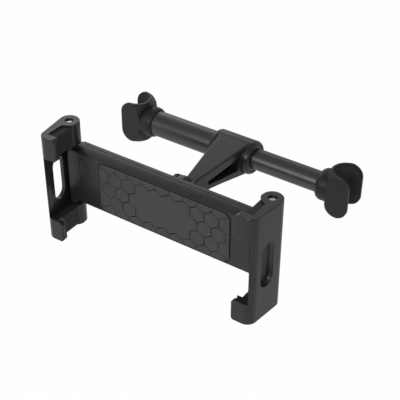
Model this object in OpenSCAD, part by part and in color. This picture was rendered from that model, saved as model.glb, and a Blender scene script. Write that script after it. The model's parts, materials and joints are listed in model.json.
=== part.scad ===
// Headrest tablet mount: a bar that telescopes between two headrest posts, an arm with a
// ball joint, and a cradle whose two folding jaws slide apart on a rack and pinion.
// X runs along the bar, Y away from the tablet, Z up. The origin is on the bar's axis,
// midway between the posts.

/* [Bar] */
// Distance between the post centres with the bar pulled right out
post_span = 167; // [160:1:180]
// How far the bar can be pushed together
bar_travel = 45; // [25:1:47]
// Outside diameter of the larger tube
outer_d = 18; // [17:0.5:19]
// Wall of both tubes
tube_wall = 1.2; // [0.9:0.1:1.5]
// Radial gap between the tubes, filled by the two bushes
tube_gap = 0.55; // [0.5:0.05:0.8]

/* [Hooks] */
// Inside diameter of a lined hook
hook_bore = 15.4; // [14:0.2:17]
// Thickness of a hook's moulded wall
hook_wall = 2.2; // [2:0.1:3]
// Thickness of the soft lining
liner_t = 1; // [0.8:0.1:1.4]
// Height of a hook along its post
hook_h = 30.4; // [27:0.2:36]
// Length of a hook's legs past the post's centre
hook_leg = 6.6; // [5:0.2:9]
// Corner radius of the legs, seen from the side
leg_corner = 8; // [4:0.5:9]
// Length of the socket from the post's centre to its rounded end
socket_l = 18.2; // [17:0.2:20]

/* [Arm] */
// Distance from the bar's axis to the jaws' hinge pins
reach = 81; // [76:1:95]
// Outside diameter of the collar
collar_d = 23.6; // [23.2:0.2:26]
// Length of the collar
collar_l = 32.4; // [31:0.2:40]
// Width of the arm at the bar
arm_root_w = 24; // [18:0.5:25]
// Width of the arm at the ball joint
arm_tip_w = 7.8; // [7.6:0.2:10]
// Height of the arm's top above the bar's axis, at the ball joint
arm_top = 7; // [6:0.1:8]
// Depth of the arm's underside below the bar's axis, at the ball joint
arm_low = 4.4; // [4.2:0.1:6]

/* [Ball joint] */
// Diameter of the ball
ball_d = 15; // [14:0.5:16]
// Distance from the cradle's back to the ball's centre
ball_back = 7.6; // [7.4:0.1:11]
// Gap between the ball, its seat and the socket
ball_gap = 0.3; // [0.2:0.05:0.35]
// Number of lobes round the locking nut
nut_lobes = 12; // [8:1:16]
// Diameter over the nut's lobes
nut_d = 30; // [29.4:0.2:33]

/* [Cradle] */
// Width of the cradle's housing
cradle_w = 132; // [130:1:140]
// Height of the cradle's housing
cradle_h = 41; // [40:0.5:46]
// Depth of the housing in front of the hinge pins
face_y = 3.7; // [3.5:0.1:4]
// Depth of the housing behind the hinge pins
back_y = 9; // [8.8:0.1:11]
// Depth of the sloped edge above and below the face
slope_y = 4.9; // [3.5:0.1:5.5]
// Height of the sloped edge
slope_z = 1.2; // [0.6:0.1:2.5]
// Wall of the housing
shell_t = 2; // [1.6:0.1:2.2]
// Thickness of the back cover's edge, seen behind the parting groove
back_rim = 4.1; // [3.7:0.1:4.6]
// Width of the soft pad
pad_w = 100; // [80:1:110]
// Height of the soft pad
pad_h = 37; // [30:0.5:37.6]
// Side of a honeycomb cell
cell = 6.1; // [5:0.1:8]

/* [Sliders] */
// How far each jaw slides out
jaw_travel = 45; // [20:1:48]
// Size of the rack's and pinion's teeth
tooth_module = 1; // [0.9:0.05:1.05]
// Number of teeth on the pinion
pinion_teeth = 12; // [11:1:13]
// Height of a slider's rack bar
rack_h = 7.5; // [6:0.1:7.8]

/* [Jaws] */
// Height of a jaw
jaw_h = 78; // [72:1:100]
// Distance from the housing's end to a hinge pin, less the gap
block_l = 9; // [8.8:0.1:14]
// Radius of a jaw's hinge boss
boss_r = 6.75; // [6.5:0.05:7.2]
// Distance from the hinge pin to the jaw's front face
jaw_front = 25.9; // [24:0.1:32]
// Radius of the jaw's front corner
corner_r = 6.5; // [5.5:0.1:6.8]
// Gap between the housing's edge and a claw
claw_gap = 2.8; // [2.4:0.1:8]
// How far the lips reach inwards from the hinge pin
lip_reach = 10.3; // [8:0.1:14]
// Thickness of the jaw's wall between the claws
jaw_wall = 3; // [2.4:0.1:3.2]
// Length of the slot in the jaw's wall
slot_l = 32; // [20:1:40]
// Width of the slot in the jaw's wall
slot_w = 11.4; // [6:0.2:12]
// Thickness of a jaw's soft pad
jaw_pad_t = 5.4; // [2:0.1:6]
// Diameter of the hinge pin
pin_d = 3.4; // [2.6:0.1:3.8]

/* [Hidden] */

black = "#2b2b2c";
grey = "#474747";
tube_grey = "#5a5a5c";
steel = "#b9bbbd";
soft = "#3a3a3b";
white = "#d8d8d4";

fine = 72;
hull_fn = 32;
eps = 0.01;
// Running clearance of a shaft or pin in its hole, and the seat of one piece on another
run = 0.05;
// Gap between pieces that slide or swing past each other
free = 0.3;

// Bar
outer_r = outer_d / 2;
outer_bore_r = outer_r - tube_wall;
inner_r = outer_bore_r - tube_gap;
inner_bore_r = inner_r - tube_wall;
half_span = post_span / 2;
socket_start = half_span - socket_l;
socket_depth = 5.7;
tube_end = socket_start + socket_depth;
socket_round = 4;
bore_r = hook_bore / 2;
shell_r = bore_r + liner_t;
hook_r = shell_r + hook_wall;
plug_l = 8;
slide_bush_l = 12.8;
guide_in = 14;
inner_start = -slide_bush_l - 0.2;
hook_screw_r = 1.5;
hook_head_r = 2.8;
hook_head_t = 1.5;
wire = 1.1;
bar_spring_r = inner_bore_r - 0.9;
bar_spring_turns = 14;
seat_x = 22;
seat_t = 4;

// Arm and ball joint
collar_r = collar_d / 2;
collar_round = 3.2;
ball_r = ball_d / 2;
ball_y = back_y + ball_back - reach;
tip_y = ball_y + ball_r + 2;
seat_in_r = ball_r + ball_gap;
seat_out_r = seat_in_r + 1.6;
seat_back = -4.1;
seat_lip = 4.5;
cup_in_r = seat_out_r + ball_gap;
cup_r = cup_in_r + 2.4;
neck_r = 3.2;
shank_r = 3;
shank_l = 11;
stud_pin_r = 0.8;
stud_pin_x = shank_r - 0.3;
stud_pin_y = 7;
stud_pin_top = 2.5;
lip_y = 4.2;
nut_front = -4.4;
nut_r = nut_d / 2;
lobe_r = 2.5;
arm_curve_l = -0.62 * tip_y;
arm_bend = 3.9;
arm_edge = 1;
arm_meet_r = collar_r - 0.15;
plate = 0.4;
pocket_rear = -12.2;
pocket_front = -42.2;
web_t = 2.4;

// Cradle, in its own frame with the hinge pins at y = 0
half_w = cradle_w / 2;
half_h = cradle_h / 2;
split_y = back_y - back_rim;
cavity_h = half_h - shell_t;
cavity_y0 = -face_y + shell_t;
back_t = 3.2;
cavity_y1 = back_y - back_t;
pad_r = 5;
pad_recess = 0.8;
pad_proud = 0.4;
groove_w = 0.7;
groove_d = 0.5;
screw_r = 1.3;
screw_head_r = 2.4;
screw_x = half_w - 5.6;
screw_z = cavity_h - 2.8;
post_r = 2.6;
rib_x = half_w - 16;
rib_l = 12;
rib_t = 0.8;

// Rack and pinion
pitch_r = tooth_module * pinion_teeth / 2;
tooth_pitch = PI * tooth_module;
backlash = 0.25;
rack_add = 0.75 * tooth_module;
rack_ded = 1.15 * tooth_module;
pinion_add = 0.9 * tooth_module;
pinion_ded = 1.15 * tooth_module;
pressure = 20;
rack_y0 = cavity_y0 + free;
rack_y1 = cavity_y1 - free - 0.4;
rack_top = pitch_r - rack_add + rack_h;
tongue_end = -(jaw_travel + 2 * tooth_pitch + 1);
axle_r = 2.45;
pinion_t = 4;
spring_peg_x = -14;
spring_post_x = -screw_x + 7;
spring_z = cavity_h - 2.5;
spring_r = 1.7;
spring_wire = 0.6;
spring_turns = 20;
peg_r = 0.8;

// Jaws, in the frame of their hinge pin, with +X outwards
block_start = half_w + free;
pin_x = block_start + block_l;
half_jaw = jaw_h / 2;
claw_z = half_h + claw_gap;
claw_h = half_jaw - claw_z;
barrel_r = face_y;
barrel_gap = barrel_r + 0.4;
corner_c = [-2.1, corner_r - jaw_front];
lip_r = 1.3;
lip_t = 5.4;
mouth_x = -0.1;
mouth_front = lip_t - jaw_front;
edge = 0.4;
tip_round = 3.6;
wall_end_x = 1.2;
slot_y = -11.4;
pin_r = pin_d / 2;
pin_head_r = 2.7;
pin_sink = 1.2;
pin_head_t = 1.6;

// Points of an elliptical arc about c, from angle a0 to a1
function arc(c, rx, ry, a0, a1, n = 10) =
    [for (i = [0:n]) let (a = a0 + (a1 - a0) * i / n) c + [rx * cos(a), ry * sin(a)]];

// The four points where the outer tangents touch two circles
function tangent_points(c1, r1, c2, r2) =
    let (
        d = c2 - c1,
        base = atan2(d[1], d[0]),
        turn = acos((r1 - r2) / norm(d)),
        u = [cos(base + turn), sin(base + turn)],
        v = [cos(base - turn), sin(base - turn)]
    )
    [c1 + r1 * u, c1 + r1 * v, c2 + r2 * v, c2 + r2 * u];

// Where the line from p, on the arm's side of the bar, touches the circle of radius r about the bar
function touch(p, r) =
    let (a = asin(r / norm(p)) - atan2(abs(p[1]), abs(p[0])))
    [-r * sin(a), sign(p[1]) * r * cos(a)];

// Point of an involute of the base circle b, at radius r, in polar form [r, angle]
function involute(b, r) =
    let (t = sqrt(pow(r / b, 2) - 1)) [r, t * 180 / PI - atan(t)];

// Points of a ring of the tube that follows a helix along Z
function ring(p, dir, r, sides) =
    let (u = [cos(dir), sin(dir), 0])
    [for (k = [0:sides - 1]) p + r * (cos(360 * k / sides) * u + sin(360 * k / sides) * [0, 0, 1])];

module along_x() rotate([0, 90, 0]) children();
module along_y() rotate([-90, 0, 0]) children();
module yz_profile(length) rotate([90, 0, 90]) linear_extrude(length, center = true) children();
module xz_profile(depth) rotate([90, 0, 0]) linear_extrude(depth, center = true) children();
module at_cradle() translate([0, -reach, 0]) children();
module at_ball() translate([0, ball_y, 0]) children();
module left() mirror([1, 0, 0]) children();
module turned(points) rotate_extrude($fn = fine) polygon(points);

// Tube or rod along X
module rod(x0, x1, r) translate([x0, 0, 0]) along_x() cylinder(h = x1 - x0, r = r, $fn = fine);

// Flat outline of two circles and what lies between their outer tangents
module link2d(c1, r1, c2, r2) {
    translate(c1) circle(r1, $fn = fine);
    translate(c2) circle(r2, $fn = fine);
    polygon(tangent_points(c1, r1, c2, r2));
}

module round_rect(w, h, r) {
    square([w - 2 * r, h], center = true);
    square([w, h - 2 * r], center = true);
    for (x = [-1, 1], y = [-1, 1])
        translate([x * (w / 2 - r), y * (h / 2 - r)]) circle(r, $fn = fine);
}

// Wire wound along +Z, from z = 0 to z = length
module coil(r, wire_r, turns, length) {
    steps = 12;
    sides = 5;
    n = turns * steps;
    rings = [for (i = [0:n]) let (a = 360 * i / steps)
        ring([r * cos(a), r * sin(a), wire_r + (length - 2 * wire_r) * i / n], a, wire_r, sides)];
    points = [for (q = rings, p = q) p];
    walls = [for (i = [0:n - 1], k = [0:sides - 1], half = [0, 1])
        let (j = (k + 1) % sides, low = i * sides, high = low + sides)
        half == 0 ? [low + k, low + j, high + j] : [low + k, high + j, high + k]];
    ends = [[for (k = [sides - 1:-1:0]) k], [for (k = [0:sides - 1]) n * sides + k]];
    polyhedron(points, concat(walls, ends), convexity = 10);
}

// Bar

module outer_tube() {
    color(tube_grey) difference() {
        rod(-tube_end, guide_in, outer_r);
        rod(-tube_end - eps, guide_in + eps, outer_bore_r);
        translate([guide_in / 2, 0, -outer_r])
            cylinder(h = 3, r = screw_r + run, center = true, $fn = fine);
    }
}

module inner_tube() {
    color(tube_grey) difference() {
        rod(inner_start, tube_end, inner_r);
        rod(inner_start - eps, tube_end + eps, inner_bore_r);
    }
}

// Bush in the mouth of the larger tube, with a rounded flange that closes the collar
module guide_bush() {
    flange_r = outer_r + 0.3;
    flange_end = collar_l / 2 - 0.2;
    color(black) difference() {
        along_x() turned(concat(
            [[inner_r + run, 0], [outer_bore_r - run, 0], [outer_bore_r - run, guide_in + run],
             [flange_r, guide_in + run]],
            arc([flange_r - 0.8, flange_end - 0.8], 0.8, 0.8, 0, 90),
            [[inner_r + run, flange_end]]
        ));
        translate([guide_in / 2, 0, -outer_bore_r + tube_gap / 2])
            cylinder(h = 3, r = screw_r + run, center = true, $fn = fine);
    }
}

// Sleeve on the inner end of the smaller tube, which meets the guide bush at full length
module slide_bush() {
    color(white) difference() {
        rod(inner_start, inner_start + slide_bush_l, outer_bore_r - run);
        rod(inner_start - eps, inner_start + slide_bush_l + eps, inner_r + run / 2);
    }
}

module spring_seat() {
    color(white) along_x() turned([
        [0, seat_x], [bar_spring_r - wire, seat_x - 3], [bar_spring_r - wire, seat_x],
        [inner_bore_r - run, seat_x], [inner_bore_r - run, seat_x + seat_t], [0, seat_x + seat_t]
    ]);
}

module bar_spring() {
    start = -tube_end + plug_l;
    color(steel) translate([start + free / 2, 0, 0]) along_x()
        coil(bar_spring_r - free, wire / 2, bar_spring_turns, seat_x - start - free);
}

// Plug in a tube's end, drilled for the hook's screw
module tube_plug(r) {
    color(white) difference() {
        rod(tube_end - plug_l, tube_end, r);
        rod(tube_end - plug_l - eps, tube_end + eps, hook_screw_r + run / 2);
    }
}

module left_tube_plug() left() tube_plug(outer_bore_r - run);
module right_tube_plug() tube_plug(inner_bore_r - run);

// Outer form of a hook, before it is bored: one turned end and two rounded legs
module hook_form() {
    rim = 0.45;
    leg_x = hook_leg - leg_corner;
    hull() {
        intersection() {
            cylinder(h = hook_h - 2 * rim, r = hook_r, center = true, $fn = 2 * hull_fn);
            translate([-hook_r, 0, 0]) cube(2 * [hook_r, hook_r, hook_h], center = true);
        }
        intersection() {
            cylinder(h = hook_h, r = hook_r - rim, center = true, $fn = 2 * hull_fn);
            translate([-hook_r, 0, 0]) cube(2 * [hook_r, hook_r, hook_h], center = true);
        }
        for (z = [-1, 1]) translate([leg_x, 0, z * (hook_h / 2 - leg_corner)]) rotate([90, 0, 0]) {
            cylinder(h = 2 * (hook_r - rim), r = leg_corner, center = true, $fn = hull_fn);
            cylinder(h = 2 * hook_r, r = leg_corner - rim, center = true, $fn = hull_fn);
        }
    }
}

// Hook that opens towards +X, with the socket for a tube of radius tube_r
module hook(tube_r) {
    hole_r = tube_r + run;
    drop = hook_r - hole_r - 0.4;
    color(black) translate([half_span, 0, 0]) difference() {
        union() {
            hook_form();
            translate([-half_span, 0, 0]) along_x() turned(concat(
                [[0, socket_start], [hook_r - drop, socket_start]],
                arc([hook_r - drop, socket_start + socket_round], drop, socket_round, -90, 0),
                [[hook_r, half_span], [0, half_span]]
            ));
        }
        cylinder(h = hook_h + 2, r = shell_r, center = true, $fn = fine);
        translate([hook_leg, 0, 0]) cube([2 * hook_leg, 2 * shell_r, hook_h + 2], center = true);
        translate([-half_span, 0, 0]) {
            rod(socket_start - eps, tube_end + run, hole_r);
            rod(tube_end - eps, half_span, hook_screw_r + run);
            rod(half_span - shell_r - hook_head_t - 0.4, half_span, hook_head_r + run);
        }
    }
}

module left_hook() left() hook(outer_r);
module right_hook() hook(inner_r);

// Soft lining of a hook, with rounded leg ends that follow the hook's own
module hook_liner() {
    inset = 0.6;
    color(soft) translate([half_span, 0, 0]) intersection() {
        linear_extrude(hook_h - 2 * inset, center = true) difference() {
            union() {
                circle(shell_r - run, $fn = fine);
                translate([0, run - shell_r]) square([hook_leg, 2 * (shell_r - run)]);
            }
            circle(bore_r, $fn = fine);
            translate([0, -bore_r]) square([2 * hook_leg, 2 * bore_r]);
        }
        xz_profile(3 * hook_r) union() {
            translate([hook_leg - inset - hook_r, 0])
                round_rect(2 * hook_r, hook_h - 2 * inset, leg_corner - inset);
            translate([-hook_r, 0]) square([2 * hook_r, hook_h], center = true);
        }
    }
}

module left_hook_liner() left() hook_liner();
module right_hook_liner() hook_liner();

module hook_screw() {
    head_x = half_span - shell_r - hook_head_t - 0.3;
    color(steel) difference() {
        union() {
            rod(head_x, head_x + hook_head_t, hook_head_r);
            rod(tube_end - plug_l + 1, head_x + eps, hook_screw_r);
        }
        cross_recess(head_x + hook_head_t, 1.7, 0.6);
    }
}

// Cross-shaped driver recess in a face that looks along +X
module cross_recess(x, w, t) {
    for (a = [0, 90]) translate([x, 0, 0]) rotate([a, 0, 0]) cube([2 * t, 2 * w, t], center = true);
}

module left_hook_screw() left() hook_screw();
module right_hook_screw() hook_screw();

// Arm

// Top of the arm where it meets the collar
root = touch([tip_y, arm_top], arm_meet_r);

// Half the arm's width at depth y
function arm_half(y) = (arm_tip_w + (arm_root_w - arm_tip_w) * (y - tip_y) / (root[0] - tip_y)) / 2;

// Tapered block of the arm, flat above and hollowed a little below
module arm_taper() {
    deep = collar_r + 4;
    under = [for (i = [0:4]) [tip_y + arm_curve_l * i / 4, -arm_low - arm_bend * pow(i / 4, 1.7)]];
    intersection() {
        hull() for (q = [[tip_y, arm_top], root]) translate([0, q[0], (q[1] - deep) / 2])
            xz_profile(plate) round_rect(2 * arm_half(q[0]), q[1] + deep, arm_edge, $fn = hull_fn);
        yz_profile(2 * arm_root_w) polygon(concat(
            [[2, deep], [tip_y - 1, deep], [tip_y - 1, -arm_low]], under,
            [touch(under[4], arm_meet_r), [2, 1 - collar_r]]
        ));
    }
}

module arm_pocket_outline() {
    polygon([[pocket_rear, 3.4], [pocket_rear - 1.1, -5], [pocket_front, -1.8], [pocket_front, 0.4]]);
}

// Slope that leads from the arm's side into the top of its pocket
module pocket_slope(side) {
    hull() for (q = [[pocket_rear + plate, 3.1, 3.5, 1.3], [pocket_front - plate, 0.1, 2.1, 0.8]])
        translate([0, q[0], q[1]])
        let (w = arm_half(q[0]))
        xz_profile(plate) polygon([
            [side * (w - q[3]), 0], [side * (w + 1), 0], [side * (w + 1), q[2] * (1 + 1 / q[3])]
        ]);
}

// Arm and collar, one moulding
module bracket_arm() {
    ring_x = arm_root_w / 2 + 0.3;
    end_x = collar_l / 2;
    rim_r = outer_r + 0.45;
    color(black) difference() {
        union() {
            arm_taper();
            along_x() turned(concat(
                [[0, -end_x]],
                arc([rim_r, collar_round - end_x], collar_r - rim_r, collar_round, -90, 0),
                arc([rim_r, end_x - collar_round], collar_r - rim_r, collar_round, 0, 90),
                [[0, end_x]]
            ));
        }
        rod(-collar_l, guide_in + run, outer_r + run);
        rod(guide_in, collar_l, outer_r + 0.3 + run);
        for (side = [-1, 1]) {
            translate([side * (web_t / 2 + arm_root_w / 2), 0, 0]) yz_profile(arm_root_w)
                arm_pocket_outline();
            pocket_slope(side);
            intersection() {
                translate([side * ring_x, 0, 0]) along_x() turned([
                    [collar_r - 0.5, -0.35], [collar_r + 1, -0.35],
                    [collar_r + 1, 0.35], [collar_r - 0.5, 0.35]
                ]);
                translate([0, -collar_r, -4]) cube([4 * arm_root_w, 1.2 * collar_r, 20], center = true);
            }
        }
        translate([0, tip_y - plate, 0]) along_y()
            cylinder(h = plate + shank_l + 0.3, r = shank_r + run, $fn = fine);
        translate([stud_pin_x, tip_y + stud_pin_y, -collar_r])
            cylinder(h = collar_r + stud_pin_top, r = stud_pin_r + run, $fn = fine);
        translate([guide_in / 2, 0, -collar_r])
            cylinder(h = 2 * 2.2, r = screw_head_r + run, center = true, $fn = fine);
        translate([guide_in / 2, 0, -collar_r])
            cylinder(h = 10, r = screw_r + run, center = true, $fn = fine);
    }
}

module collar_screw() {
    head_z = -collar_r + 0.6;
    color(steel) translate([guide_in / 2, 0, 0]) difference() {
        union() {
            translate([0, 0, head_z]) cylinder(h = 1.5, r = screw_head_r, $fn = fine);
            translate([0, 0, head_z]) cylinder(h = -inner_r - 0.2 - head_z, r = screw_r, $fn = fine);
        }
        translate([0, 0, head_z]) rotate([0, 90, 0]) cross_recess(0, 1.6, 0.6);
    }
}

// Ball joint, along Y from the ball's centre

module ball_stud() {
    groove_y = tip_y - ball_y + stud_pin_y;
    end_y = tip_y - ball_y + shank_l;
    half = stud_pin_r + run;
    core = stud_pin_x - half;
    color(steel) at_ball() difference() {
        union() {
            sphere(ball_r, $fn = fine);
            along_y() cylinder(h = tip_y - ball_y - 0.3, r = neck_r, $fn = fine);
            along_y() cylinder(h = end_y, r = shank_r, $fn = fine);
        }
        along_y() turned([
            [core, groove_y - half], [shank_r + 1, groove_y - half],
            [shank_r + 1, groove_y + half], [core, groove_y + half]
        ]);
    }
}

// Pin from below that runs in the stud's groove and keeps the stud in the arm
module stud_pin() {
    low = -arm_low + 0.3;
    color(steel) translate([stud_pin_x, tip_y + stud_pin_y, low])
        cylinder(h = stud_pin_top - low - 0.2, r = stud_pin_r, $fn = fine);
}

module ball_seat() {
    color(white) at_ball() along_y() turned(concat(
        arc([0, 0], seat_out_r, seat_out_r, asin(seat_back / seat_out_r), asin(seat_lip / seat_out_r), 14),
        arc([0, 0], seat_in_r, seat_in_r, asin(seat_lip / seat_in_r), asin(seat_back / seat_in_r), 14)
    ));
}

module lock_nut() {
    nut_l = lip_y - nut_front;
    color(black) at_ball() difference() {
        intersection() {
            along_y() union() {
                translate([0, 0, nut_front]) cylinder(h = nut_l, r = nut_r - 1.2, $fn = fine);
                for (i = [0:nut_lobes - 1]) rotate([0, 0, 360 * i / nut_lobes + 360 / nut_lobes / 4])
                    translate([nut_r - lobe_r, 0, nut_front]) cylinder(h = nut_l, r = lobe_r, $fn = fine);
            }
            along_y() turned(concat(
                [[0, nut_front], [nut_r - 1, nut_front], [nut_r, nut_front + 1]],
                arc([nut_r - 2, lip_y - 2], 2, 2, 0, 90, 6),
                [[0, lip_y]]
            ));
        }
        along_y() turned(concat(
            [[0, -1], [cup_in_r, -1]], arc([0, 0], cup_in_r, cup_in_r, 0, 60, 14), [[0, cup_in_r]]
        ));
        translate([0, nut_front - eps, 0]) along_y()
            cylinder(h = 0.6 - nut_front, r = cup_r + run, $fn = fine);
    }
}

// Cradle

// Side outline of the housing, between the two depths y0 and y1
module housing_outline(y0, y1, inset) {
    z = half_h - inset;
    intersection() {
        polygon([
            [-face_y + inset, z - slope_z], [slope_y - face_y, z], [back_y - 0.8, z], [back_y, z - 0.8],
            [back_y, 0.8 - z], [back_y - 0.8, -z], [slope_y - face_y, -z], [-face_y + inset, slope_z - z]
        ]);
        translate([y0, -2 * half_h]) square([y1 - y0, 4 * half_h]);
    }
}

// Where the four cover screws go
module at_screws() {
    for (x = [-1, 1], z = [-1, 1]) translate([x * screw_x, 0, z * screw_z]) children();
}

// Slots in the housing's ends for the two rack bars
module rack_slots() {
    for (side = [-1, 1])
        translate([side * half_w, (rack_y0 + rack_y1) / 2, side * (rack_top + pitch_r - rack_add) / 2])
        cube([4 * shell_t, rack_y1 - rack_y0 + 2 * free, rack_h + 2 * free], center = true);
}

module front_cover() {
    color(black) at_cradle() {
        difference() {
            yz_profile(cradle_w) housing_outline(-face_y, split_y, 0);
            yz_profile(cradle_w - 2 * shell_t) housing_outline(cavity_y0, split_y + 1, shell_t);
            translate([0, -face_y, 0]) xz_profile(2 * pad_recess)
                round_rect(pad_w + 0.6, pad_h + 0.6, pad_r + 0.3);
            rack_slots();
        }
        difference() {
            at_screws() translate([0, cavity_y0 - eps, 0])
                along_y() cylinder(h = split_y - cavity_y0, r = post_r, $fn = fine);
            at_screws() translate([0, cavity_y0 + 1, 0]) along_y()
                cylinder(h = 10, r = screw_r + run, $fn = fine);
        }
        translate([0, cavity_y0 - eps, 0]) along_y()
            cylinder(h = rack_y1 - cavity_y0, r = axle_r, $fn = fine);
        translate([spring_post_x, cavity_y0 - eps, spring_z])
            along_y() cylinder(h = split_y - cavity_y0, r = peg_r, $fn = fine);
        for (side = [-1, 1], x = [-rib_x, rib_x])
            translate([x, (cavity_y0 + split_y) / 2, side * (rack_top + free + rib_t / 2)])
            cube([rib_l, split_y - cavity_y0 + 2 * eps, rib_t], center = true);
    }
}

module back_cover() {
    groove = 0.45;
    cup_y = ball_y + reach;
    color(black) at_cradle() difference() {
        union() {
            difference() {
                yz_profile(cradle_w) housing_outline(split_y, back_y, 0);
                yz_profile(cradle_w - 2 * shell_t) housing_outline(split_y - 1, cavity_y1, shell_t);
                rack_slots();
                for (side = [-1, 1]) translate([0, split_y, side * half_h])
                    cube([2 * cradle_w, 2 * groove, 2 * groove], center = true);
            }
            at_screws() translate([0, split_y + run, 0])
                along_y() cylinder(h = back_y - split_y - 0.5, r = post_r, $fn = fine);
            translate([0, cavity_y1, 0]) along_y()
                cylinder(h = cup_y + 0.4 - cavity_y1, r = cup_r, $fn = fine);
            translate([0, back_y - eps, 0]) along_y()
                cylinder(h = 1.6, r1 = cup_r + 2, r2 = cup_r, $fn = fine);
        }
        translate([0, cup_y, 0]) along_y() turned(concat(
            arc([0, 0], cup_in_r, cup_in_r, -90, 0, 18), [[cup_in_r, 1], [0, 1]]
        ));
        at_screws() translate([0, split_y, 0]) along_y() {
            translate([0, 0, -1]) cylinder(h = 10, r = screw_r + run, $fn = fine);
            translate([0, 0, back_rim - 1.4]) cylinder(h = 3, r = screw_head_r + run, $fn = fine);
        }
    }
}

module cover_screws() {
    head_y = back_y - 1.35;
    color(steel) at_cradle() at_screws() difference() {
        union() {
            translate([0, head_y, 0]) along_y() cylinder(h = 1.1, r = screw_head_r, $fn = fine);
            translate([0, cavity_y0 + 1.2, 0]) along_y()
                cylinder(h = head_y - cavity_y0 - 1, r = screw_r, $fn = fine);
        }
        translate([0, head_y + 1.1, 0]) rotate([0, 0, 90]) cross_recess(0, 1.5, 0.5);
    }
}

// Honeycomb: cells in upright rows, kept at the pad's ends and along its long edges
cell_w = cell * sqrt(3);
columns = floor(pad_w / 2 / cell_w) + 1;
function cell_place(i, j) = [(i + (j % 2 == 0 ? 0 : 0.5)) * cell_w, 1.5 * j * cell];
function cell_shown(p) = abs(p[0]) > pad_w / 2 - 2.4 * cell_w || abs(p[1]) > pad_h / 2 - 0.6 * cell;

module honeycomb_lines() {
    intersection() {
        for (i = [-columns:columns], j = [-2:2]) let (p = cell_place(i, j)) if (cell_shown(p))
            translate(p) rotate(30) difference() {
                circle(cell + groove_w / 2, $fn = 6);
                circle(cell - groove_w / 2, $fn = 6);
            }
        round_rect(pad_w - 2, pad_h - 2, pad_r - 1);
    }
}

module grip_pad() {
    thick = pad_recess + pad_proud;
    color(grey) at_cradle() translate([0, pad_recess - face_y - thick / 2 - run, 0]) difference() {
        xz_profile(thick) round_rect(pad_w, pad_h, pad_r);
        translate([0, -thick / 2, 0]) xz_profile(2 * groove_d) honeycomb_lines();
    }
}

// Rack and pinion

// Half the width of a rack tooth at height h above its pitch line
function rack_half(h) = (tooth_pitch - backlash) / 4 - h * tan(pressure);

module rack_tooth() {
    polygon([[-rack_half(-rack_ded), rack_ded + 1], [-rack_half(-rack_ded), rack_ded],
             [-rack_half(rack_add), -rack_add], [rack_half(rack_add), -rack_add],
             [rack_half(-rack_ded), rack_ded], [rack_half(-rack_ded), rack_ded + 1]]);
}

// Rack bar in the XZ plane, its teeth towards the pinion
module rack_outline() {
    toothed_end = tooth_pitch * 2.5;
    first = floor((tongue_end + tooth_pitch) / tooth_pitch);
    translate([tongue_end, pitch_r + rack_ded])
        square([block_start - tongue_end + 2, rack_h - rack_add - rack_ded]);
    translate([toothed_end, pitch_r - rack_add]) square([block_start - toothed_end + 2, rack_h]);
    for (i = [first:2]) translate([(i + 0.5) * tooth_pitch, pitch_r]) rack_tooth();
}

// Pinion tooth flank, from the root to the tip, as polar points [radius, angle from the middle]
function flank() =
    let (
        base = pitch_r * cos(pressure),
        root = pitch_r - pinion_ded,
        tip = pitch_r + pinion_add,
        half = (90 - backlash / 2 / pitch_r * 90 / PI) / pinion_teeth + involute(base, pitch_r)[1]
    )
    concat([[root, half]], [for (i = [0:6])
        let (q = involute(base, base + (tip - base) * i / 6)) [q[0], half - q[1]]]);

module pinion() {
    sides = flank();
    n = len(sides);
    one = concat([for (q = sides) [q[0], -q[1]]], [for (i = [n - 1:-1:0]) sides[i]]);
    outline = [for (k = [0:pinion_teeth - 1], q = one)
        q[0] * [cos(90 + q[1] + 360 * k / pinion_teeth), sin(90 + q[1] + 360 * k / pinion_teeth)]];
    color(white) at_cradle() translate([0, cavity_y0 + free, 0]) along_y() difference() {
        union() {
            translate([0, 0, 0.4]) linear_extrude(pinion_t) polygon(outline);
            cylinder(h = pinion_t + 0.8, r = axle_r + 1.4, $fn = fine);
        }
        translate([0, 0, -1]) cylinder(h = pinion_t + 3, r = axle_r + run, $fn = fine);
    }
}

module return_spring() {
    color(steel) at_cradle()
        translate([spring_post_x + peg_r + 0.2, (cavity_y0 + split_y) / 2, spring_z]) along_x()
        coil(spring_r, spring_wire / 2, spring_turns, spring_peg_x - spring_post_x - 2 * peg_r - 0.4);
}

// Slider for the right side, with its rack above the pinion
module slider() {
    color(black) difference() {
        union() {
            translate([0, (rack_y0 + rack_y1) / 2, 0]) xz_profile(rack_y1 - rack_y0) rack_outline();
            difference() {
                translate([(block_start + pin_x) / 2, 0, 0])
                    yz_profile(pin_x - block_start) housing_outline(-face_y, back_y, 0);
                translate([pin_x, 0, 0]) linear_extrude(2 * cradle_h, center = true)
                    polygon([[1, barrel_r], [1, 2 * back_y], [-5.5, 2 * back_y], [-5.5, back_y - 0.5]]);
            }
            translate([pin_x, 0, 0])
                cylinder(h = 2 * (claw_z - free), r = barrel_r, center = true, $fn = fine);
        }
        translate([pin_x, 0, 0]) cylinder(h = jaw_h, r = pin_r + run, center = true, $fn = fine);
    }
}

module right_slider() {
    at_cradle() slider();
    color(black) at_cradle()
        translate([spring_peg_x, (rack_y0 + rack_y1) / 2, (rack_top + spring_z + 0.4) / 2])
        cylinder(h = spring_z + 0.4 - rack_top + 2 * eps, r = peg_r, center = true, $fn = fine);
}

module left_slider() at_cradle() rotate([0, 180, 0]) slider();

// Jaws

// Wall of a jaw over its full height, with softened top and bottom edges
module jaw_wall_form() {
    hull() for (c = [[[0, 0], boss_r], [corner_c, corner_r]]) translate(c[0]) {
        cylinder(h = jaw_h - 2 * edge, r = c[1], center = true, $fn = 2 * hull_fn);
        cylinder(h = jaw_h, r = c[1] - edge, center = true, $fn = 2 * hull_fn);
    }
}

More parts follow.
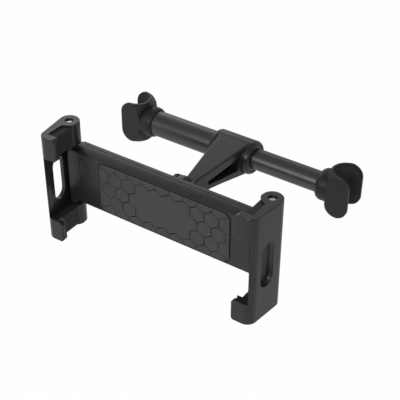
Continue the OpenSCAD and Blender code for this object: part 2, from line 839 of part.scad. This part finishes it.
// Lip that turns inwards at the front of a claw
module lip_form() {
    z = half_jaw - claw_h / 2;
    root = [-2.1, lip_t / 2 - jaw_front];
    tip = [lip_r - lip_reach, lip_r - jaw_front];
    intersection() {
        translate([0, 0, z]) hull() for (c = [[root, lip_t / 2], [tip, lip_r]]) translate(c[0]) {
            cylinder(h = claw_h - 2 * edge, r = c[1], center = true, $fn = hull_fn);
            cylinder(h = claw_h, r = c[1] - edge, center = true, $fn = hull_fn);
        }
        translate([0, -jaw_front, z]) xz_profile(4 * lip_t) translate([claw_h - lip_reach, 0])
            round_rect(2 * claw_h, claw_h, tip_round);
    }
}

// What is cut away between the claws, leaving the jaw's wall
module between_claws() {
    linear_extrude(2 * claw_z, center = true) {
        link2d([0, 0], barrel_gap, corner_c, corner_r - jaw_wall);
        translate([wall_end_x - 4 * boss_r, -2 * jaw_front]) square([4 * boss_r, 3 * jaw_front]);
    }
}

// Outline of a claw's mouth, which ends on the hinge boss with a small fillet by the wall
module mouth_outline(gap) {
    r = 2.5;
    y = -sqrt(pow(boss_r + r, 2) - pow(r - mouth_x, 2));
    difference() {
        translate([mouth_x - gap - 20, mouth_front + gap]) square([20, -mouth_front - gap]);
        circle(boss_r + gap, $fn = fine);
        difference() {
            polygon([[0, 0], [1, 0], [1, y], [mouth_x - r, y]]);
            translate([mouth_x - r, y]) circle(r - gap, $fn = fine);
        }
    }
}

module jaw() {
    color(black) translate([pin_x, 0, 0]) difference() {
        union() {
            jaw_wall_form();
            lip_form();
            mirror([0, 0, 1]) lip_form();
        }
        between_claws();
        for (z = [-1, 1]) translate([0, 0, z * (claw_z + jaw_h / 2)])
            linear_extrude(jaw_h, center = true) mouth_outline(0);
        translate([0, slot_y, 0]) yz_profile(8 * boss_r) hull_slot();
        cylinder(h = jaw_h, r = pin_r + run / 2, center = true, $fn = fine);
        for (z = [-1, 1]) translate([0, 0, z * (half_jaw - (pin_sink + pin_head_t) / 2)])
            cylinder(h = pin_sink + pin_head_t + 2 * eps, r = pin_head_r + run, center = true, $fn = fine);
    }
}

// Outline of the slot, a straight stretch with two round ends
module hull_slot() {
    half = (slot_l - slot_w) / 2;
    square([slot_w, 2 * half], center = true);
    for (z = [-1, 1]) translate([0, z * half]) circle(slot_w / 2, $fn = fine);
}

module left_jaw() at_cradle() left() jaw();
module right_jaw() at_cradle() jaw();

// Soft pad in the mouth of the upper claw on the right
module jaw_pad() {
    low = claw_z + 0.4;
    high = half_jaw - 1.2;
    color(soft) translate([pin_x, 0, (low + high) / 2]) linear_extrude(high - low, center = true)
        intersection() {
        mouth_outline(run);
        translate([mouth_x - jaw_pad_t, -2 * jaw_front]) square([jaw_pad_t, 4 * jaw_front]);
    }
}

module left_upper_jaw_pad() at_cradle() left() jaw_pad();
module left_lower_jaw_pad() at_cradle() rotate([0, 180, 0]) jaw_pad();
module right_upper_jaw_pad() at_cradle() jaw_pad();
module right_lower_jaw_pad() at_cradle() mirror([0, 0, 1]) jaw_pad();

module hinge_pin() {
    top = half_jaw - pin_sink;
    color(steel) translate([pin_x, 0, 0]) turned([
        [0, -top], [pin_head_r - 0.4, -top], [pin_head_r, 0.4 - top], [pin_head_r, pin_head_t - top - 0.05],
        [pin_r, pin_head_t - top - 0.05], [pin_r, top - pin_head_t + 0.05],
        [pin_head_r, top - pin_head_t + 0.05], [pin_head_r, top - 0.4], [pin_head_r - 0.4, top], [0, top]
    ]);
}

module left_hinge_pin() at_cradle() left() hinge_pin();
module right_hinge_pin() at_cradle() hinge_pin();

outer_tube();
inner_tube();
guide_bush();
slide_bush();
bar_spring();
spring_seat();
left_tube_plug();
right_tube_plug();
left_hook();
right_hook();
left_hook_liner();
right_hook_liner();
left_hook_screw();
right_hook_screw();
bracket_arm();
collar_screw();
ball_stud();
stud_pin();
ball_seat();
lock_nut();
back_cover();
front_cover();
grip_pad();
cover_screws();
pinion();
return_spring();
left_slider();
right_slider();
left_jaw();
right_jaw();
left_upper_jaw_pad();
left_lower_jaw_pad();
right_upper_jaw_pad();
right_lower_jaw_pad();
left_hinge_pin();
right_hinge_pin();
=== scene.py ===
"""Looks of a headrest tablet mount: softened mouldings, finishes, studio and camera."""

import json
import math

import bpy
from bpy.props import FloatProperty, FloatVectorProperty, IntProperty, PointerProperty
from mathutils import Matrix, Vector


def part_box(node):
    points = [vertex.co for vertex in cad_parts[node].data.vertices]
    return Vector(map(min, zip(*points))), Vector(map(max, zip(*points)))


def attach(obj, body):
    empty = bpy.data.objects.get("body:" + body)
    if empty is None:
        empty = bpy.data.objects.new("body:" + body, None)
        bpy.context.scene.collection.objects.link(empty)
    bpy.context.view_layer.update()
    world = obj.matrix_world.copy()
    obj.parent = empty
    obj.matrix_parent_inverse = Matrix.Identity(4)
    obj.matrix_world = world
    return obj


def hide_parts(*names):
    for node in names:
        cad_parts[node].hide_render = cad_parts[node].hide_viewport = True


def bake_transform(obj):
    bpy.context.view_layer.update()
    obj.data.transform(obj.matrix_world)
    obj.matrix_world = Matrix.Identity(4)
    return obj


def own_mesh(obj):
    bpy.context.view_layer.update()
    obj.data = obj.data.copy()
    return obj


bl_info = {
    "name": "Headrest tablet mount",
    "version": (1, 0, 0),
    "blender": (4, 5, 0),
    "location": "View3D > Sidebar > Mount",
    "description": "Softens the mouldings of a headrest tablet mount and gives every piece its finish",
    "category": "Object",
}

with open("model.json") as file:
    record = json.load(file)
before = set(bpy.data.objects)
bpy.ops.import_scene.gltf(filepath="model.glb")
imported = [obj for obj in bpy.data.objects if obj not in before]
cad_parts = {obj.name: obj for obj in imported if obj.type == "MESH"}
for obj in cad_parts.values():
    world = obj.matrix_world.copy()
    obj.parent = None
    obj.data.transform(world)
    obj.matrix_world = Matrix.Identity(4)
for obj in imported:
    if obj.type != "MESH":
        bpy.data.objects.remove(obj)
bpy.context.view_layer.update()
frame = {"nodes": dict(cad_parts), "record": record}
BODY_OF = {node: body for body, nodes in frame["record"]["behaviour"]["bodies"].items() for node in nodes}
SLOT_OF = {entry["node"]: entry["material_slot"] for entry in frame["record"]["subparts"]}
MM = 0.001


# Properties


class MountShape(bpy.types.PropertyGroup):
    """Sizes of what the finishing adds to the solids"""

    edge: FloatProperty(
        name="Edge", description="Rounding of a moulding's edges",
        default=0.45 * MM, min=0.1 * MM, max=1 * MM, unit="LENGTH",
    )
    fine_edge: FloatProperty(
        name="Fine edge", description="Rounding of small or thin pieces",
        default=0.18 * MM, min=0.05 * MM, max=0.4 * MM, unit="LENGTH",
    )
    pad_edge: FloatProperty(
        name="Pad edge", description="Rounding of the pad's rim and grooves",
        default=0.45 * MM, min=0.05 * MM, max=0.5 * MM, unit="LENGTH",
    )
    pad_gap: FloatProperty(
        name="Pad gap", description="Groove between the pad and the cover",
        default=0.4 * MM, min=0, max=1 * MM, unit="LENGTH",
    )
    edge_steps: IntProperty(
        name="Edge steps", description="Facets across a rounded edge", default=3, min=1, max=6,
    )
    crease: FloatProperty(
        name="Crease", description="Angle from which an edge is rounded",
        default=math.radians(28), min=0.1, max=1.5, subtype="ANGLE",
    )
    grain: FloatProperty(
        name="Grain", description="Width of the plastic's grain",
        default=0.5 * MM, min=0.1 * MM, max=2 * MM, unit="LENGTH",
    )


class MountColours(bpy.types.PropertyGroup):
    """Colours of the finishes"""

    plastic: FloatVectorProperty(
        name="Plastic", description="Black mouldings",
        default=(0.021, 0.021, 0.0215), min=0, max=1, size=3, subtype="COLOR",
    )
    pad: FloatVectorProperty(
        name="Pad", description="Soft pad of the cradle",
        default=(0.06, 0.06, 0.061), min=0, max=1, size=3, subtype="COLOR",
    )
    lining: FloatVectorProperty(
        name="Lining", description="Soft pieces in the hooks and jaws",
        default=(0.022, 0.022, 0.022), min=0, max=1, size=3, subtype="COLOR",
    )
    tube: FloatVectorProperty(
        name="Tube", description="Satin metal of the bar",
        default=(0.11, 0.11, 0.113), min=0, max=1, size=3, subtype="COLOR",
    )
    steel: FloatVectorProperty(
        name="Steel", description="Screws, springs and pins",
        default=(0.55, 0.55, 0.56), min=0, max=1, size=3, subtype="COLOR",
    )
    natural: FloatVectorProperty(
        name="Natural plastic", description="Bushes, gear and seat inside",
        default=(0.72, 0.72, 0.67), min=0, max=1, size=3, subtype="COLOR",
    )


class MountLight(bpy.types.PropertyGroup):
    """Studio light"""

    back: FloatProperty(
        name="Back", description="Power of the wide panel behind the part", default=2.1, min=0, max=200,
    )
    front: FloatProperty(
        name="Front", description="Power of the low panel at the front", default=2.85, min=0, max=200,
    )
    walls: FloatProperty(
        name="Walls", description="Strength of the light from the room's walls", default=0.6, min=0, max=3,
    )
    ceiling: FloatProperty(
        name="Ceiling", description="Strength of the light from above", default=0.35, min=0, max=3,
    )


# Materials

# Most of a noise's values lie between these two
NOISE_LOW, NOISE_HIGH = 0.3, 0.7
NOISE_DETAIL = 3
# Widths of a moulding's clouds of colour, of gloss and of its coarse grain, in widths of its fine grain
CLOUDS, GLOSS, COARSE = 22, 9, 3
COARSE_DEPTH = 1.5
COARSE_STRENGTH = 0.15
FINE_STRENGTH = 0.25
MOULDED_GLOSS_SPREAD = 0.05
# Width of a metal's clouds of colour, in widths of its drawing lines
METAL_CLOUDS = 25
METAL_MOTTLE = 0.07
METAL_GLOSS_SPREAD = 0.06
# Drawing lines along X: the pattern is stretched 25 times that way
DRAWN = (0.04, 1, 1)


class Nodes:
    """Short calls that add and join the nodes of a tree"""

    def __init__(self, tree):
        self.tree = tree

    def node(self, kind, inputs=None, **values):
        made = self.tree.nodes.new(kind)
        for name, value in values.items():
            setattr(made, name, value)
        for name, value in (inputs or {}).items():
            made.inputs[name].default_value = value
        return made

    def link(self, source, target):
        self.tree.links.new(source, target)

    def times(self, source, factor):
        product = self.node("ShaderNodeMath", {1: factor}, operation="MULTIPLY")
        self.link(source, product.inputs[0])
        return product.outputs[0]

    def mixed(self, share, first, second):
        mix = self.node("ShaderNodeMixShader")
        self.link(share, mix.inputs["Fac"])
        self.link(first, mix.inputs[1])
        self.link(second, mix.inputs[2])
        return mix.outputs["Shader"]


class Finish(Nodes):
    """A new material with its shader, to which texture nodes are added"""

    def __init__(self, name):
        self.material = bpy.data.materials.new(name)
        self.material.use_nodes = True
        super().__init__(self.material.node_tree)
        self.shader = self.tree.nodes["Principled BSDF"]
        self.place = self.node("ShaderNodeTexCoord").outputs["Object"]

    def stretched(self, scale):
        mapping = self.node("ShaderNodeMapping", {"Scale": scale})
        self.link(self.place, mapping.inputs["Vector"])
        return mapping.outputs["Vector"]

    def noise(self, width, detail=2.0, where=None):
        noise = self.node("ShaderNodeTexNoise", {"Scale": 1 / width, "Detail": detail})
        self.link(where or self.place, noise.inputs["Vector"])
        return noise.outputs["Fac"]

    def colour(self, source, colour, variation):
        ramp = self.node("ShaderNodeValToRGB")
        low, high = ramp.color_ramp.elements
        low.position, high.position = NOISE_LOW, NOISE_HIGH
        low.color = [c * (1 - variation) for c in colour] + [1]
        high.color = [min(1, c * (1 + variation)) for c in colour] + [1]
        self.link(source, ramp.inputs["Fac"])
        self.link(ramp.outputs["Color"], self.shader.inputs["Base Color"])

    def roughness(self, source, middle, spread):
        limits = {
            "From Min": NOISE_LOW, "From Max": NOISE_HIGH,
            "To Min": middle - spread, "To Max": middle + spread,
        }
        ranged = self.node("ShaderNodeMapRange", limits)
        self.link(source, ranged.inputs["Value"])
        self.link(ranged.outputs["Result"], self.shader.inputs["Roughness"])

    def bump(self, source, depth, strength, under=None):
        bump = self.node("ShaderNodeBump", {"Distance": depth, "Strength": strength})
        self.link(source, bump.inputs["Height"])
        if under:
            self.link(under, bump.inputs["Normal"])
        return bump.outputs["Normal"]


def moulded(name, colour, roughness, grain, depth=0.06 * MM, mottle=0.06, specular=0.5):
    """Plastic or rubber with the fine grain of its mould"""
    finish = Finish(name)
    finish.shader.inputs["Specular IOR Level"].default_value = specular
    finish.colour(finish.noise(CLOUDS * grain, NOISE_DETAIL), colour, mottle)
    finish.roughness(finish.noise(GLOSS * grain, NOISE_DETAIL), roughness, MOULDED_GLOSS_SPREAD)
    coarse = finish.bump(finish.noise(COARSE * grain), COARSE_DEPTH * depth, COARSE_STRENGTH)
    fine = finish.bump(finish.noise(grain, NOISE_DETAIL), depth, FINE_STRENGTH, coarse)
    finish.link(fine, finish.shader.inputs["Normal"])
    return finish.material


def metal(name, colour, roughness, streak=(1, 1, 1), width=0.4 * MM, depth=0.01 * MM, metallic=1.0):
    """Metal with fine lines, which streak stretches along one way"""
    finish = Finish(name)
    finish.shader.inputs["Metallic"].default_value = metallic
    along = finish.stretched(streak)
    finish.colour(finish.noise(METAL_CLOUDS * width, NOISE_DETAIL, along), colour, METAL_MOTTLE)
    lines = finish.noise(width, NOISE_DETAIL, along)
    finish.roughness(lines, roughness, METAL_GLOSS_SPREAD)
    finish.link(finish.bump(lines, depth, FINE_STRENGTH), finish.shader.inputs["Normal"])
    return finish.material


def make_finishes(colours, shape):
    """One material for each of the record's slots"""
    grain = shape.grain
    return {
        "black_plastic": moulded("grained black plastic", colours.plastic, 0.3, grain),
        "hook_plastic": moulded(
            "plain black plastic", colours.plastic, 0.45, grain, depth=0.04 * MM, specular=0.42
        ),
        "pad_rubber": moulded("soft grey pad", colours.pad, 0.66, 0.7 * grain, depth=0.05 * MM),
        "soft_rubber": moulded("black lining", colours.lining, 0.75, 0.6 * grain, depth=0.05 * MM),
        "white_plastic": moulded(
            "natural plastic", colours.natural, 0.4, grain, depth=0.02 * MM, mottle=0.03
        ),
        "tube_metal": metal("satin tube", colours.tube, 0.36, DRAWN, metallic=0.85),
        "steel": metal("plated steel", colours.steel, 0.3),
        "polished_steel": metal("bright steel", colours.steel, 0.2),
    }


FINISHES = {}


def finish_of(node):
    """The material of a node's slot; all are made on first use"""
    if not FINISHES:
        scene = bpy.context.scene
        FINISHES.update(make_finishes(scene.mount_colours, scene.mount_shape))
    return FINISHES[SLOT_OF[node]]


# Mesh tools

# Points nearer than this are one
MERGE = 0.002 * MM
# Facets that turn less than this are one face
FLAT = math.radians(1.5)
# Edges stay sharp from these angles, on mouldings and on a coil's wire
SHARP = math.radians(35)
COIL_SHARP = math.radians(80)
FINE_STEPS = 2


def only(piece):
    """Makes a piece the one that is selected and active"""
    bpy.ops.object.select_all(action="DESELECT")
    bpy.context.view_layer.objects.active = piece
    piece.select_set(True)


def edit(piece):
    only(piece)
    bpy.ops.object.mode_set(mode="EDIT")
    bpy.ops.mesh.select_all(action="SELECT")


def leave_edit():
    bpy.ops.object.mode_set(mode="OBJECT")


def apply_modifiers(piece):
    only(piece)
    for modifier in list(piece.modifiers):
        bpy.ops.object.modifier_apply(modifier=modifier.name)


def smooth(piece, angle):
    only(piece)
    bpy.ops.object.shade_smooth_by_angle(angle=angle)


def give_finish(piece, node):
    piece.data.materials.clear()
    piece.data.materials.append(finish_of(node))


def stand_in(node, ending):
    """Welded copy of a CAD node, with the material of its slot, which takes the node's place"""
    piece = bpy.data.objects.new(node + ending, frame["nodes"][node].data.copy())
    bpy.context.collection.objects.link(piece)
    give_finish(piece, node)
    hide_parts(node)
    edit(piece)
    bpy.ops.mesh.remove_doubles(threshold=MERGE)
    leave_edit()
    return piece


def working_spring(node):
    """Smooth copy of a spring"""
    spring = stand_in(node, "_coil")
    smooth(spring, COIL_SHARP)
    return spring


def draw_in(node, gap):
    """Makes what is being edited smaller by a gap all round in X and Z"""
    low, high = map(Vector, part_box(node))
    width, _, height = high - low
    share = (1 - 2 * gap / width, 1, 1 - 2 * gap / height)
    bpy.ops.transform.resize(value=share, center_override=(low + high) / 2)


def soften(node, width, steps, gap=0):
    """Copy of a CAD node with rounded edges, drawn in by a gap, which takes the node's place"""
    piece = stand_in(node, "_soft")
    edit(piece)
    bpy.ops.mesh.dissolve_limited(angle_limit=FLAT)
    if gap:
        draw_in(node, gap)
    leave_edit()
    bevel = piece.modifiers.new("Edges", "BEVEL")
    bevel.width = width
    bevel.segments = steps
    bevel.limit_method = "ANGLE"
    bevel.angle_limit = bpy.context.scene.mount_shape.crease
    bevel.use_clamp_overlap = True
    bevel.miter_outer = "MITER_ARC"
    apply_modifiers(piece)
    smooth(piece, SHARP)
    weighted = piece.modifiers.new("Normals", "WEIGHTED_NORMAL")
    weighted.keep_sharp = True
    apply_modifiers(piece)
    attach(piece, BODY_OF[node])
    return piece


# Operators


class FinishOperator:
    """What the operators share: nodes with widely rounded edges, with finely rounded ones, and as they are"""

    bl_options = {"REGISTER", "UNDO"}
    softened = ()
    fine = ()
    plain = ()

    def execute(self, context):
        shape = context.scene.mount_shape
        for node in self.softened:
            soften(node, shape.edge, shape.edge_steps)
        for node in self.fine:
            soften(node, shape.fine_edge, FINE_STEPS)
        for node in self.plain:
            give_finish(frame["nodes"][node], node)
        return {"FINISHED"}


class MOUNT_OT_bar(FinishOperator, bpy.types.Operator):
    """Finish the telescoping bar with its bushes, plugs and spring"""

    bl_idname = "mount.bar"
    bl_label = "Bar"
    fine = ("outer_tube", "inner_tube", "guide_bush")
    plain = ("slide_bush", "spring_seat", "left_tube_plug", "right_tube_plug")

    def execute(self, context):
        spring = working_spring("bar_spring")
        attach(spring, "bar")
        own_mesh(spring)
        return super().execute(context)


class MOUNT_OT_hooks(FinishOperator, bpy.types.Operator):
    """Finish the two hooks and their linings"""

    bl_idname = "mount.hooks"
    bl_label = "Hooks"
    softened = ("left_hook", "right_hook")
    fine = ("left_hook_liner", "right_hook_liner")
    plain = ("left_hook_screw", "right_hook_screw")


class MOUNT_OT_arm(FinishOperator, bpy.types.Operator):
    """Finish the arm and its collar"""

    bl_idname = "mount.arm"
    bl_label = "Arm"
    softened = ("bracket_arm",)
    plain = ("collar_screw", "stud_pin")


class MOUNT_OT_ball_joint(FinishOperator, bpy.types.Operator):
    """Finish the ball joint and its locking nut"""

    bl_idname = "mount.ball_joint"
    bl_label = "Ball joint"
    softened = ("lock_nut",)
    fine = ("ball_stud",)
    plain = ("ball_seat",)


class MOUNT_OT_cradle(FinishOperator, bpy.types.Operator):
    """Finish the cradle's two covers, its screws and what they hide"""

    bl_idname = "mount.cradle"
    bl_label = "Cradle"
    softened = ("front_cover", "back_cover")
    plain = ("cover_screws", "pinion")

    def execute(self, context):
        spring = working_spring("return_spring")
        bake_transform(spring)
        return super().execute(context)


class MOUNT_OT_pad(FinishOperator, bpy.types.Operator):
    """Finish the soft pad with its honeycomb lines"""

    bl_idname = "mount.pad"
    bl_label = "Pad"

    def execute(self, context):
        shape = context.scene.mount_shape
        pad = soften("grip_pad", shape.pad_edge, shape.edge_steps, shape.pad_gap)
        pad.name = "pad"
        return {"FINISHED"}


class MOUNT_OT_sliders(FinishOperator, bpy.types.Operator):
    """Finish the two sliders"""

    bl_idname = "mount.sliders"
    bl_label = "Sliders"
    fine = ("left_slider", "right_slider")


class MOUNT_OT_jaws(FinishOperator, bpy.types.Operator):
    """Finish the folding jaws, their soft pads and hinge pins"""

    bl_idname = "mount.jaws"
    bl_label = "Jaws"
    softened = ("left_jaw", "right_jaw")
    fine = (
        "left_upper_jaw_pad", "left_lower_jaw_pad", "right_upper_jaw_pad", "right_lower_jaw_pad",
        "left_hinge_pin", "right_hinge_pin",
    )


# Studio

CAMERA_AT = Vector((295.42, -479.00, 359.43)) * MM
CAMERA_RIGHT = Vector((0.82638, 0.56310, 0.00342))
CAMERA_UP = Vector((-0.32880, 0.47758, 0.81474))
CAMERA_LENS = 88.17
CAMERA_SENSOR = 36.0
CAMERA_NEAR = 0.01

FLOOR_Z = -0.26
FLOOR_SIZE = 6.0
FLOOR_COLOUR = (0.8, 0.8, 0.8)
FLOOR_ROUGHNESS = 0.9
# Width and strength of the floor's faint clouds
FLOOR_CLOUDS = 0.4
FLOOR_MOTTLE = 0.004
# The camera sees this share of a plain glow, and for the rest the floor with its shadows
GLOW_SHARE = 0.96
FLOOR_GLOW = 1.015
# How much of that glow the part mirrors
MIRRORED = 0.3

# Place and size of the two panels, which face the part
BACK_PANEL = (-0.92, 0.64, 0.58), (1.1, 0.56)
FRONT_PANEL = (0.02, -0.88, 0.42), (1.0, 0.28)
# Between these two heights, as sines of the angle above the horizon, the walls turn into the ceiling
WALL_TOP = (0.6, 0.85)


def shown_white(name, colour):
    """Floor material that takes shadows and shows as plain white behind the object"""
    finish = Finish(name)
    finish.colour(finish.noise(FLOOR_CLOUDS), colour, FLOOR_MOTTLE)
    finish.shader.inputs["Roughness"].default_value = FLOOR_ROUGHNESS
    glow = finish.node("ShaderNodeEmission", {"Strength": FLOOR_GLOW})
    path = finish.node("ShaderNodeLightPath")
    seen = finish.node("ShaderNodeMath", operation="MAXIMUM")
    finish.link(path.outputs["Is Camera Ray"], seen.inputs[0])
    finish.link(finish.times(path.outputs["Is Glossy Ray"], MIRRORED), seen.inputs[1])
    share = finish.times(seen.outputs[0], GLOW_SHARE)
    surface = finish.mixed(share, finish.shader.outputs["BSDF"], glow.outputs["Emission"])
    finish.link(surface, finish.tree.nodes["Material Output"].inputs["Surface"])
    return finish.material


def light_panel(name, place, size, power):
    """Area light that faces the origin"""
    bpy.ops.object.light_add(type="AREA", location=place)
    lamp = bpy.context.active_object
    lamp.name = name
    lamp.data.shape = "RECTANGLE"
    lamp.data.size, lamp.data.size_y = size
    lamp.data.energy = power
    lamp.rotation_euler = (-Vector(place)).to_track_quat("-Z", "Y").to_euler()


class MOUNT_OT_stage(bpy.types.Operator):
    """Set up the floor, the light and the camera"""

    bl_idname = "mount.stage"
    bl_label = "Stage"
    bl_options = {"REGISTER", "UNDO"}

    def execute(self, context):
        scene = context.scene
        light = scene.mount_light
        bpy.ops.object.select_all(action="DESELECT")
        bpy.ops.mesh.primitive_plane_add(size=FLOOR_SIZE, location=(0, 0, FLOOR_Z))
        floor = context.active_object
        floor.name = "floor"
        bpy.ops.object.transform_apply(location=True, rotation=True, scale=True)
        floor.data.materials.append(shown_white("white floor", FLOOR_COLOUR))
        light_panel("back panel", *BACK_PANEL, light.back)
        light_panel("front panel", *FRONT_PANEL, light.front)
        self.surround(scene, light)
        self.camera(scene)
        scene.view_settings.view_transform = "Standard"
        return {"FINISHED"}

    def surround(self, scene, light):
        """Walls and a dimmer ceiling that light the part, and plain white behind it"""
        scene.world = bpy.data.worlds.new("studio")
        scene.world.use_nodes = True
        world = Nodes(scene.world.node_tree)
        world.tree.nodes.clear()
        parts = world.node("ShaderNodeSeparateXYZ")
        world.link(world.node("ShaderNodeTexCoord").outputs["Generated"], parts.inputs["Vector"])
        limits = {
            "From Min": WALL_TOP[0], "From Max": WALL_TOP[1],
            "To Min": light.walls, "To Max": light.ceiling,
        }
        height = world.node("ShaderNodeMapRange", limits, interpolation_type="SMOOTHSTEP")
        world.link(parts.outputs["Z"], height.inputs["Value"])
        room = world.node("ShaderNodeBackground")
        world.link(height.outputs["Result"], room.inputs["Strength"])
        white = world.node("ShaderNodeBackground", {"Color": (1, 1, 1, 1)})
        seen = world.node("ShaderNodeLightPath").outputs["Is Camera Ray"]
        surface = world.mixed(seen, room.outputs["Background"], white.outputs["Background"])
        world.link(surface, world.node("ShaderNodeOutputWorld").inputs["Surface"])

    def camera(self, scene):
        data = bpy.data.cameras.new("camera")
        data.sensor_width = CAMERA_SENSOR
        data.lens = CAMERA_LENS
        data.clip_start = CAMERA_NEAR
        camera = bpy.data.objects.new("camera", data)
        scene.collection.objects.link(camera)
        back = CAMERA_RIGHT.cross(CAMERA_UP)
        turn = Matrix((CAMERA_RIGHT, CAMERA_UP, back)).transposed()
        camera.matrix_world = Matrix.Translation(CAMERA_AT) @ turn.to_4x4()
        scene.camera = camera


PIECES = (
    MOUNT_OT_bar, MOUNT_OT_hooks, MOUNT_OT_arm, MOUNT_OT_ball_joint, MOUNT_OT_cradle,
    MOUNT_OT_pad, MOUNT_OT_sliders, MOUNT_OT_jaws, MOUNT_OT_stage,
)
GROUPS = {"mount_shape": MountShape, "mount_colours": MountColours, "mount_light": MountLight}


class MOUNT_PT_panel(bpy.types.Panel):
    """Sidebar panel with the mount's sizes, colours and pieces"""

    bl_idname = "MOUNT_PT_panel"
    bl_label = "Headrest tablet mount"
    bl_space_type = "VIEW_3D"
    bl_region_type = "UI"
    bl_category = "Mount"

    def draw(self, context):
        for name in GROUPS:
            group = getattr(context.scene, name)
            box = self.layout.box()
            for setting in group.__annotations__:
                box.prop(group, setting)
        for piece in PIECES:
            self.layout.operator(piece.bl_idname)


def register():
    for group in (*GROUPS.values(), *PIECES, MOUNT_PT_panel):
        bpy.utils.register_class(group)
    for name, group in GROUPS.items():
        setattr(bpy.types.Scene, name, PointerProperty(type=group))


def unregister():
    for name in GROUPS:
        delattr(bpy.types.Scene, name)
    for group in reversed((*GROUPS.values(), *PIECES, MOUNT_PT_panel)):
        bpy.utils.unregister_class(group)


def main():
    register()
    for piece in PIECES:
        group, name = piece.bl_idname.split(".")
        getattr(getattr(bpy.ops, group), name)()


if __name__ == "__main__":
    main()
